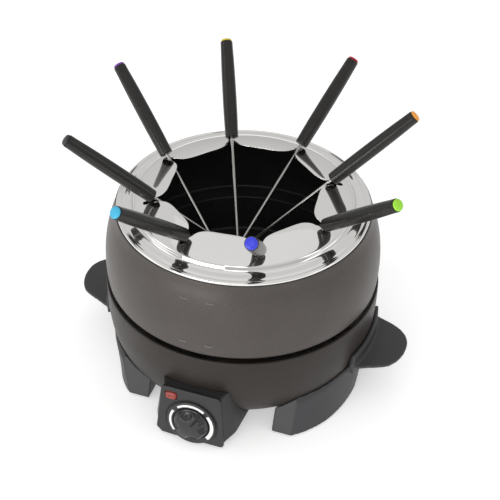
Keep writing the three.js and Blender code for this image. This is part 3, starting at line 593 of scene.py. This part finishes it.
def build_inside():
    dish = fillet([(108.9, 78.5), (108.9, 77.6), (104.1, 77.4), (103.6, 46), (99.4, 37.0), (92, 33.3), (73, 33.3), (73, 34.2), (91.8, 34.2),
                   (98.8, 38.0), (102.8, 46.5), (103.2, 78.5)], [0.2, 0.2, 0.5, 6, 4, 4, 0.2, 0.2, 4, 4, 6, 0.3], 5, closed=True)
    o = lathe("reflector_pan", dish, 160, M["sheet"], angle=30)
    part(o, "base", "reflector_dish", slot="sheet_steel")
    sup = fillet([(69.4, 16.6), (76, 16.6), (76, 17.6), (70.6, 17.6), (70.6, 39.8), (69.4, 39.8)], [1.2, 0.2, 0.2, 0.5, 0.2, 0.2], 4, closed=True)
    o = lathe("heater_stand", sup, 120, M["sheet"], angle=30)
    boolean(o, boxed("s1", -12, 12, -80, -60, 20, 30)); boolean(o, boxed("s2", -12, 12, 60, 80, 20, 30))
    finish_mesh(o, 30)
    part(o, "base", "heater_support", slot="sheet_steel")
    turned = []
    for i in range(23):                              # shallow turned rings on the plate's top face
        r = 76.5 - i * 3.2
        turned += [(r, 48.4), (r - 0.7, 48.24), (r - 1.4, 48.4)]
    turned = [q for q in turned if q[0] > 3]
    plate_prof = np.vstack([[(0, 42.2), (20, 42.2), (20, 40.2)], fillet([(20, 40.2), (78, 40.2), (80.5, 42), (80.5, 46.8), (78.6, 48.4), (77.4, 48.4)], [0, 1, 1, 1, 1, 0], 4)[1:],
                            np.array(turned), [(0, 48.4)]])
    o = lathe("hot_plate", plate_prof, 160, M["alloy"], angle=35)
    part(o, "base", "heating_plate", slot="cast_alloy")
    # bottom cover with pressed rings and three countersunk-head screws
    cov = fillet([(0, 13.4), (30, 13.4), (32, 13.0), (44, 13.0), (46, 13.4), (70, 13.4), (80.6, 13.4), (82, 13.7), (82, 14.6), (70, 14.6), (46.5, 14.6), (44.3, 14.2), (31.7, 14.2), (29.7, 14.6), (0, 14.6)],
                 [0, 1, 1, 1, 1, 0, 0.5, 0.4, 0.3, 0, 1, 1, 1, 1, 0], 4)
    o = lathe("bottom_plate", cov, 144, M["sheet"], angle=30)
    for a in (30, 150, 270):
        h = lathe("h", np.array([(0, 10), (2.0, 10), (2.0, 18), (0, 18)]), 20, M["sheet"])
        place(h, Matrix.Translation((0.077 * math.cos(rad(a)), 0.077 * math.sin(rad(a)), 0)))
        boolean(o, h)
    # cooling slots round the middle of the cover
    for i in range(16):
        a = i * 22.5
        s = prism("s", [(52, -1.2), (64, -1.2), (64.9, -0.8), (65.2, 0), (64.9, 0.8), (64, 1.2), (52, 1.2), (51.1, 0.8), (50.8, 0), (51.1, -0.8)], 10, 18, M["sheet"])
        place(s, Matrix.Rotation(rad(a + 11.25), 4, "Z"))
        boolean(o, s)
    finish_mesh(o, 30)
    part(o, "base", "bottom_cover", slot="sheet_steel")
    for i, a in enumerate((30, 150, 270)):
        prof = np.vstack([[(0, 11.3)], fillet([(1.5, 11.35), (3.0, 11.6), (3.4, 12.3), (3.4, 13.05), (1.6, 13.1), (1.6, 14.6)], [0, 0.8, 0.4, 0.1, 0, 0], 4), [(0, 14.6)]])
        s = lathe(f"cover_screw_{i + 1}_head", prof, 32, M["zinc"], angle=30)
        cross = join_objs("x", [boxed("x1", -2.1, 2.1, -0.4, 0.4, 10, 12.4), ])
        boolean(s, cross)
        boolean(s, boxed("x2", -0.4, 0.4, -2.1, 2.1, 10, 12.4))
        finish_mesh(s, 30)
        place(s, Matrix.Translation((0.077 * math.cos(rad(a)), 0.077 * math.sin(rad(a)), 0)) @ Matrix.Rotation(rad(a * 1.7), 4, "Z"))
        part(s, "base", f"cover_screw_{i + 1}", slot="zinc")
    # cable gland at the back, with its empty bore
    gp = fillet([(3.4, -9.4), (6.1, -9.4), (6.1, -7.0), (5.4, -6.8), (5.4, 4.8), (8.2, 5.0), (8.2, 7.4), (6.4, 8.2), (5.4, 9.0), (5.1, 12.9), (3.4, 12.9)],
                [0.3, 0.5, 0.3, 0.2, 0.2, 0.8, 0.8, 0.6, 0.8, 0.5, 0.3], 4, closed=True)
    g = lathe("lead_gland", gp, 64, M["rubber"], angle=30)
    # its own Z runs out of the back
    place(g, Matrix.Translation((0, 0.103, 0.027)) @ Matrix.Rotation(rad(-90), 4, "X"))
    part(g, "base", "cable_gland", slot="rubber")
    for nx, sx in (("right", 1), ("left", -1)):
        for ny, sy in (("front", -1), ("back", 1)):
            p = np.vstack([[(0, 0.0)], fillet([(4.3, 0.0), (4.9, 0.25), (5.0, 0.9), (5.0, 3.4)], [0, 0.4, 0.4, 0], 4), [(0, 3.4)]])
            f = lathe(f"foot_{ny}_{nx}", p, 48, M["rubber"], angle=35)
            place(f, Matrix.Translation((sx * PAD_X * MM, sy * PAD_Y * MM, 0)))
            part(f, "base", f"foot_pad_{ny}_{nx}", slot="rubber")
            hp = np.vstack([[(0, 0)], fillet([(1.6, 0.05), (2.7, 0.35), (2.9, 0.8), (2.9, 1.2), (1.5, 1.2), (1.5, 7.4)], [0, 0.6, 0.3, 0.1, 0, 0], 4), [(0, 7.4)]])
            s = lathe(f"moulding_screw_{ny}_{nx}", hp, 32, M["zinc"], angle=30)
            boolean(s, boxed("x1", -1.9, 1.9, -0.35, 0.35, -1, 0.7)); boolean(s, boxed("x2", -0.35, 0.35, -1.9, 1.9, -1, 0.7))
            finish_mesh(s, 30)
            place(s, Matrix.Translation((sx * 0.1039, sy * 0.016, 0.045)) @ Matrix.Rotation(rad(90 * sx), 4, "Y"))
            part(s, "base", f"bracket_screw_{ny}_{nx}", slot="zinc")

# --------------------------------------------------------- side mouldings
WING_Z, WING_T = 40.0, 2.6
WING = [(104, 31), (111.4, 28.6), (119, 26), (126.5, 23), (133, 18.8), (137.5, 14), (140.4, 8.5), (141.8, 1.5), (141.5, -6),
        (139.3, -14.5), (135.2, -22), (130.8, -26.2), (125, -29.2), (118.5, -32), (110.5, -36), (104, -38)]
COLLAR_Z, COLLAR_R = 50.5, 113.6
FOOT_Z = 1.2
# a leg's outline by the angle round the pot: radius at the table, radius and height of the shoulder
LEG_RIGHT = dict(start=-1, inner=57.1, lift=lambda phi: max(0, (11 - phi) / 12) * 14,
                 table=[(0, 104.9, 110.5, 37.6), (8, 107.4, 110.4, 37.4), (16, 109.7, 110.0, 36.6), (25, 112.5, 109.6, 33.5), (32, 114.7, 109.4, 31),
                        (38, 116.1, 109.4, 29.5), (44, 116.8, 109.4, 28.2), (51, 117.0, 109.8, 27), (60, 117.2, 110.3, 26)])
LEG_LEFT = dict(start=9, inner=48.3, lift=lambda phi: min(24, max(0, (28 - phi) / 12) * 20),
                table=[(9, 98, 107.2, 34), (18, 99.5, 107.2, 32), (28, 101.5, 107.4, 30), (33, 104.2, 108.0, 29), (39.5, 106.7, 108.7, 28),
                       (45.5, 109.6, 109.4, 27), (50.6, 111.2, 109.8, 26.4), (58, 112.4, 110.2, 25.6), (66, 113.0, 110.5, 25)])
LEG_END_Y, LEG_END_LEAN = 91, 0.42
PAD_X, PAD_Y = 67, 72

def build_moulding(sx):
    name = "right" if sx > 0 else "left"
    shape = LEG_RIGHT if sx > 0 else LEG_LEFT
    tab = spline(shape["table"], 6)
    def leg(side):
        loops = []
        for k in range(45):
            phi = shape["start"] + (64 - shape["start"]) * k / 44
            ro = float(np.interp(phi, tab[:, 0], tab[:, 1])); rr = float(np.interp(phi, tab[:, 0], tab[:, 2])); zr = float(np.interp(phi, tab[:, 0], tab[:, 3]))
            ztop = zr + (6 if phi < 22 else 6 + 3 * (1 - (phi - 22) / 40))
            c, s = math.cos(rad(phi)), math.sin(rad(phi)) * side
            lift = shape["lift"](phi)
            q = lambda r, z: (r * c, r * s, z)
            zr2 = max(zr, FOOT_Z + lift + 4)
            loops.append([q(72, FOOT_Z + lift * 0.4), q(ro, FOOT_Z + lift), q((ro + rr) / 2, (FOOT_Z + lift + zr2) / 2), q(rr, zr2), q(103.5, max(ztop, FOOT_Z + lift + 8)), q(72, 24)])
        return loft("leg", loops, M["plastic"])
    wing_line = spline(WING[1:-1], 6)
    outline = [WING[0]] + [tuple(p) for p in wing_line] + [WING[-1]]
    o = prism("wing", outline, WING_Z - WING_T, WING_Z, M["plastic"])
    arc = lambda r, a0, a1, n: [(r * math.cos(rad(a0 + (a1 - a0) * i / n)), r * math.sin(rad(a0 + (a1 - a0) * i / n))) for i in range(n + 1)]
    collar = prism("collar", arc(COLLAR_R, -19, 15.5, 40) + arc(104.5, 15.5, -19, 40), WING_Z - WING_T - 6, COLLAR_Z, M["plastic"])
    boolean(o, collar, "UNION")
    for side in (1, -1):
        lg = leg(side)
        y0, y1 = side * (LEG_END_Y + (FOOT_Z + 5) * LEG_END_LEAN), side * (LEG_END_Y - (48 - FOOT_Z) * LEG_END_LEAN)
        far = side * (LEG_END_Y + 60)
        w = loft("wedge", [[(20, y0, -5), (160, y0, -5), (160, far, -5), (20, far, -5)], [(20, y1, 48), (160, y1, 48), (160, far, 48), (20, far, 48)]], M["plastic"])
        boolean(lg, w)
        boolean(lg, boxed("in", 0, shape["inner"], -200, 200, -10, 100))
        boolean(o, lg, "UNION")
    wall = bowl_profile(0.3)
    cutp = np.vstack([[(0, 81)], [(111.5, 81)], wall, [(0, 14.7)]])
    boolean(o, lathe("bowlcut", cutp, 224, M["plastic"], angle=30))
    boolean(o, lathe("undercut", np.array([(0, 0), (84, 0), (84, 40), (0, 40)]), 96, M["plastic"]))
    # soft moulded edges
    rm = o.modifiers.new("r", "REMESH")
    rm.mode, rm.voxel_size, rm.adaptivity = "VOXEL", 0.00085, 0.0
    sm = o.modifiers.new("s", "SMOOTH")
    sm.factor, sm.iterations = 0.5, 6
    apply_mods(o)
    # flat, clean undersides for the pads
    for sy in (-1, 1):
        h = lathe("padhole", np.array([(0, -1), (5.35, -1), (5.35, 3.7), (0, 3.7)]), 40, M["plastic"])
        place(h, Matrix.Translation((PAD_X * MM, sy * PAD_Y * MM, 0)))
        boolean(o, h)
        h = lathe("screwhole", np.array([(0, -8), (1.9, -8), (1.9, 2.6), (0, 2.6)]), 24, M["plastic"])
        place(h, Matrix.Translation((0.109, sy * 0.016, 0.045)) @ Matrix.Rotation(rad(90), 4, "Y"))
        boolean(o, h)
    if sx < 0:
        o.data.transform(Matrix.Scale(-1, 4, (1, 0, 0)))
        o.data.flip_normals()
    o.name = f"handle_moulding_{name}"
    o.data.materials.clear(); o.data.materials.append(M["plastic"])
    finish_mesh(o, 50)
    return part(o, "base", f"side_moulding_{name}", slot="moulding_plastic")

# ------------------------------------------------------------- control box
PT, PB = dict(y=-118.0, z=50.5, w=24.2), dict(y=-122.0, z=2.2, w=28.4)
SLOPE = (PB["y"] - PT["y"]) / (PB["z"] - PT["z"])
TILT = math.atan(SLOPE)
ZC = (PT["z"] + PB["z"]) / 2
H = (PT["z"] - PB["z"]) / math.cos(TILT)
DV = (20.9 - ZC) / math.cos(TILT)
DX = 1.3                                          # the dial's middle on the panel
def panel_y(z): return PT["y"] + (z - PT["z"]) * SLOPE
PANEL = Matrix.Translation((0, panel_y(ZC) * MM, ZC * MM)) @ Matrix.Rotation(math.pi / 2 - TILT, 4, "X")

def arc_pts(r, a0, a1, n, cx=0, cy=0):
    return [(cx + r * math.cos(rad(a0 + (a1 - a0) * i / n)), cy + r * math.sin(rad(a0 + (a1 - a0) * i / n))) for i in range(n + 1)]

def build_control():
    t, b, up, lo = PT["w"], PB["w"], H / 2, -H / 2
    R, RI = 20.2, 15.1
    swell = [p for p in arc_pts(R, 236, 304, 34, DX, DV) if p[1] < lo - 0.02]
    corner = [(-t, up), (-b, lo + 5.2), (-b + 4.6, lo + 0.6), (swell[0][0] - 3.5, lo + 0.05)]
    pts = corner + swell + [(swell[-1][0] + 3.5, lo), (b, lo), (t, up)]
    radii = [2.6, 2.6, 2.6, 6] + [0] * len(swell) + [6, 3.6, 4.0]
    outline = [tuple(p) for p in fillet(pts, radii, 6, closed=True)]
    f = prism("fascia", outline, -2.2, 0, M["panel"], 30)
    bevel(f, 0.7, 4, 50)
    # shallow moat round the upper side of the dial's raised ring
    loops = []
    for k in range(61):
        a = -48 + 266 * k / 60
        q = min(1.0, (a + 48) / 30, (218 - a) / 30)
        q = q * q * (3 - 2 * q)
        cz, rr, rc = 1.5 - 0.62 * q, 1.45, R + 0.55
        c, sn = math.cos(rad(a)), math.sin(rad(a))
        loops.append([(DX + (rc + rr * math.cos(rad(g))) * c, DV + (rc + rr * math.cos(rad(g))) * sn, cz + rr * math.sin(rad(g))) for g in range(0, 360, 24)])
    boolean(f, loft("moat", loops, M["panel"]))
    sh = lathe("sh", np.array([(0, -6), (4.2, -6), (4.2, 4), (0, 4)]), 40, M["panel"]); place(sh, Matrix.Translation((DX * MM, DV * MM, 0)))
    boolean(f, sh)
    lamp = fillet([(-21.4, 12.9), (-11.2, 12.9), (-11.2, 20.3), (-21.4, 20.3)], 2.2, 6, closed=True)
    boolean(f, prism("lh", [tuple(p) for p in lamp], -5, 3, M["panel"]))
    # raised ring that carries the printed scale
    hoop = lathe("hoop", fillet([(RI, -1.2), (RI, 2.0), (R - 1.3, 2.0), (R, 1.4), (R, -1.2)], [0, 0.35, 1.2, 0.8, 0], 5, closed=True), 144, M["panel"], angle=30)
    place(hoop, Matrix.Translation((DX * MM, DV * MM, 0)))
    boolean(f, hoop, "UNION")
    finish_mesh(f, 28)
    f.name = "control_panel"
    place(f, PANEL)
    part(f, "base", "control_fascia", slot="moulding_plastic")
    # printed scale: three arcs, each wider than the one before
    verts, faces = [], []
    for a0, a1, w0, w1 in ((217, 148, 1.7, 2.0), (131, 54, 1.9, 2.3), (40, -40, 2.5, 3.1)):
        n = 30
        base = len(verts)
        for i in range(n + 1):
            a = rad(a0 + (a1 - a0) * i / n); w = w0 + (w1 - w0) * i / n
            for r in (17.35 - w / 2, 17.35 + w / 2):
                for zz in (1.9, 2.05):
                    verts.append((DX + r * math.cos(a), DV + r * math.sin(a), zz))
        for i in range(n):
            q = base + i * 4
            for p0, p1 in ((0, 1), (1, 3), (3, 2), (2, 0)):
                faces.append((q + p0, q + p1, q + 4 + p1, q + 4 + p0))
        faces.append((base, base + 1, base + 3, base + 2)); e = base + n * 4
        faces.append((e, e + 2, e + 3, e + 1))
    s = make("dial_scale_print", verts, faces, M["print"], None, 40)
    place(s, PANEL)
    part(s, "base", slot="moulding_plastic")
    # housing
    g = 2.6
    sec = lambda pts, r: fillet(pts, r, 4, closed=True)
    front = [(-t + 0.4, 50.0), (-b + 0.4, 7.6), (-b + 4.8, 3.0), (b - 4.6, 2.9), (b - 0.4, 6.2), (t - 0.4, 50.0)]
    mid = [(-t - 2.6, 50.0), (-b - 5.2, 8.4), (-b - 1.2, 4.0), (b + 1.2, 4.0), (b + 5.2, 8.4), (t + 2.6, 50.0)]
    back = [(-t - 9, 50.0), (-b - 10, 17), (-b - 6, 15.8), (b + 6, 15.8), (b + 10, 17), (t + 9, 50.0)]
    loops = []
    for k in range(13):
        q = k / 12
        if q < 0.4:
            u = q / 0.4; A, B = front, mid; y0, y1 = None, -107.5
        else:
            u = (q - 0.4) / 0.6; A, B = mid, back; y0, y1 = -107.5, -86.0
        ring = [(a[0] * (1 - u) + c[0] * u, a[1] * (1 - u) + c[1] * u) for a, c in zip(A, B)]
        ring = sec(ring, [2.2, 2, 2, 2.4, 2.4, 2.2])
        loop = []
        for x, z in ring:
            ys = panel_y(z) + g if y0 is None else y0
            loop.append((x, ys * (1 - u) + y1 * u, z))
        loops.append(loop)
    hs = loft("housing", loops, M["housing"], 28)
    inner = []
    for l in loops:
        cx, cz = 0, 27
        inner.append([(x * (1 - 2.4 / 28), y, cz + (z - cz) * (1 - 2.4 / 24)) for x, y, z in l])
    inner[0] = [(x, y - 1, z) for x, y, z in inner[0]]; inner[-1] = [(x, y + 1, z) for x, y, z in inner[-1]]
    boolean(hs, loft("hollow", inner, M["housing"], 28))
    cutp = np.vstack([[(0, 81)], [(111.5, 81)], bowl_profile(0.3), [(0, 14.7)]])
    boolean(hs, lathe("bowlcut", cutp, 192, M["housing"], angle=30))
    boolean(hs, lathe("undercut", np.array([(0, 0), (83, 0), (83, 40), (0, 40)]), 96, M["housing"]))
    finish_mesh(hs, 28)
    hs.name = "control_box"
    part(hs, "base", "control_housing", slot="moulding_plastic")
    # pilot lamp: domed lens with well rounded corners
    verts, faces, nn = [], [], 18
    hx, hy = 4.85, 3.45
    for j in range(nn + 1):
        for i in range(nn + 1):
            u, v = -1 + 2 * i / nn, -1 + 2 * j / nn
            k = 1 - 0.17 * (u * v) ** 2                 # square grid drawn in to a rounded one
            zz = 1.75 * max(0.0, 1 - u ** 4) ** 0.5 * max(0.0, 1 - v ** 4) ** 0.5
            verts.append((u * hx * k, v * hy * k, -0.2 + zz))
    for j in range(nn):
        for i in range(nn):
            a = j * (nn + 1) + i
            faces.append((a, a + 1, a + nn + 2, a + nn + 1))
    ring = [i for i in range(nn + 1)] + [(j + 1) * (nn + 1) - 1 for j in range(1, nn + 1)] + [nn * (nn + 1) + i for i in range(nn - 1, -1, -1)] + [j * (nn + 1) for j in range(nn - 1, 0, -1)]
    base = len(verts)
    for k in ring: verts.append((verts[k][0], verts[k][1], -2.2))
    m = len(ring)
    for i in range(m): faces.append((ring[i], ring[(i + 1) % m], base + (i + 1) % m, base + i))
    faces.append(tuple(base + i for i in range(m))[::-1])
    lens = make("pilot_lens", verts, faces, M["lamp"], None, 45)
    place(lens, PANEL @ Matrix.Translation((-16.3 * MM, 16.6 * MM, 0)))
    part(lens, "base", "pilot_lamp_lens", slot="lamp_red")

def build_knob():
    # height over a polar grid: domed top, four finger scoops, pointer groove on one arm
    rings, segs, RK = 48, 192, 13.2
    verts, faces = [], []
    point = rad(57)
    hollows = [(14.2 * math.cos(point + rad(45 + 90 * q)), 14.2 * math.sin(point + rad(45 + 90 * q))) for q in range(4)]
    def smin(a, b, k):
        h = max(k - abs(a - b), 0.0) / k
        return min(a, b) - h * h * k * 0.25
    def height(x, y):
        r = math.hypot(x, y)
        z = 8.8 - 1.9 * (r / RK) ** 2.3 - 1.5 * max(0.0, (r - 11.2) / 2.0) ** 2
        for hx, hy in hollows:
            z = smin(z, 2.9 + 5.7 * (math.hypot(x - hx, y - hy) / 6.9) ** 3, 1.5)
        along, across = x * math.cos(point) + y * math.sin(point), -x * math.sin(point) + y * math.cos(point)
        if along > 3.6 and abs(across) < 1.0:
            z -= 1.0 * max(0.0, 1 - (abs(across) / 0.8) ** 2) * min(1, (along - 3.6) / 0.7)
        return z
    for j in range(1, rings + 1):
        r = RK * j / rings
        for i in range(segs):
            t = 2 * math.pi * i / segs
            x, y = r * math.cos(t), r * math.sin(t)
            verts.append((x, y, height(x, y)))
    c = len(verts); verts.append((0, 0, height(0.0, 0.0)))
    for j in range(rings - 1):
        for i in range(segs):
            i2 = (i + 1) % segs
            faces.append((j * segs + i, (j + 1) * segs + i, (j + 1) * segs + i2, j * segs + i2))
    for i in range(segs): faces.append((c, i, (i + 1) % segs))
    # skirt and underside
    prev = (rings - 1) * segs
    for r, z in ((13.42, 2.95), (13.6, 2.7), (14.0, 2.6), (14.25, 2.35), (14.3, 2.0), (14.3, 0.9), (14.15, 0.6), (13.9, 0.5), (3.3, 0.5), (3.3, 6.6)):
        base = len(verts)
        for i in range(segs):
            t = 2 * math.pi * i / segs
            verts.append((r * math.cos(t), r * math.sin(t), z))
        for i in range(segs):
            i2 = (i + 1) % segs
            faces.append((prev + i, base + i, base + i2, prev + i2))
        prev = base
    faces.append(tuple(prev + i for i in range(segs)))
    k = make("dial_grip", verts, faces, M["knob"], None, 34)
    place(k, PANEL @ Matrix.Translation((DX * MM, DV * MM, 0)))
    part(k, "dial", "dial_knob", slot="handle_black")

build_pot()
build_ring()
for k, f in enumerate(FORKS, 1):
    build_fork(k, *f[:6])
build_bowl()
build_inside()
build_moulding(1)
build_moulding(-1)
build_control()
build_knob()
build_level_marks([(264.9, 134.6), (276.1, 134.8), (265.1, 95.6), (276.1, 95.9)])

for n, key in (("heating_element", "sheet"), ("thermal_fuse", "zinc"), ("terminal_block", "ceramic"), ("pilot_lamp_holder", "ceramic"), ("thermostat", "ceramic"),
               ("dial_shaft", "zinc"), ("mains_loom", "rubber"), ("control_loom", "rubber")):
    o = NODES[n]
    o.data.materials.clear()
    o.data.materials.append(M[key])

# -------------------------------------------------------------------- stage
def build_stage():
    s = 4.0
    me = bpy.data.meshes.new("floor")
    me.from_pydata([(-s, -s, 0), (s, -s, 0), (s, s, 0), (-s, s, 0)], [], [(0, 1, 2, 3)])
    o = bpy.data.objects.new("floor", me)
    scene.collection.objects.link(o)
    o.location.z = -0.0002
    m = new_mat("floor_white", (0.92, 0.92, 0.92), 0.8, 0.0, spec=0.05, rough_var=0.02, rough_scale=3, col_var=0.003, col_scale=2,
                emission=((1, 1, 1), 0.37))
    me.materials.append(m)
    w = bpy.data.worlds.new("studio")
    scene.world = w
    w.use_nodes = True
    n, l = w.node_tree.nodes, w.node_tree.links
    bg = n["Background"]
    tc = n.new("ShaderNodeTexCoord")
    sep = n.new("ShaderNodeSeparateXYZ")
    l.new(tc.outputs["Generated"], sep.inputs["Vector"])
    ramp = n.new("ShaderNodeValToRGB")
    r = ramp.color_ramp
    r.elements[0].position, r.elements[0].color = 0.0, (0.54, 0.54, 0.54, 1)
    r.elements[1].position, r.elements[1].color = 1.0, (0.75, 0.75, 0.75, 1)
    for p, c in ((0.10, 0.58), (0.22, 0.63), (0.5, 0.71), (0.87, 0.73)):
        e = r.elements.new(p); e.color = (c, c, c * 0.995, 1)
    l.new(sep.outputs["Z"], ramp.inputs["Fac"])
    l.new(ramp.outputs["Color"], bg.inputs["Color"])
    bg.inputs["Strength"].default_value = 1.0
    def area(name, loc, size, energy, target=(0, 0, 0.08), size_y=None, col=(1, 1, 1)):
        d = bpy.data.lights.new(name, "AREA")
        d.shape = "RECTANGLE"
        d.size, d.size_y = size, size_y or size
        d.energy, d.color = energy, col
        ob = bpy.data.objects.new(name, d)
        scene.collection.objects.link(ob)
        ob.location = loc
        ob.rotation_euler = (Vector(target) - Vector(loc)).to_track_quat("-Z", "Y").to_euler()
        return ob
    area("top_softbox", (0.0, 0.35, 2.4), 2.6, 2)
    area("left_softbox", (-2.0, -0.9, 1.25), 0.8, 3, size_y=1.4)
    area("right_softbox", (2.1, -0.1, 1.1), 0.7, 2.5, size_y=1.3)
    area("front_softbox", (0.5, -2.3, 2.3), 1.0, 6)
    area("front_low_softbox", (-0.75, -2.4, 0.5), 1.8, 26, size_y=0.6, target=(0, 0, 0.12))
build_stage()
scene.view_settings.view_transform = "Standard"
scene.view_settings.look = "None"
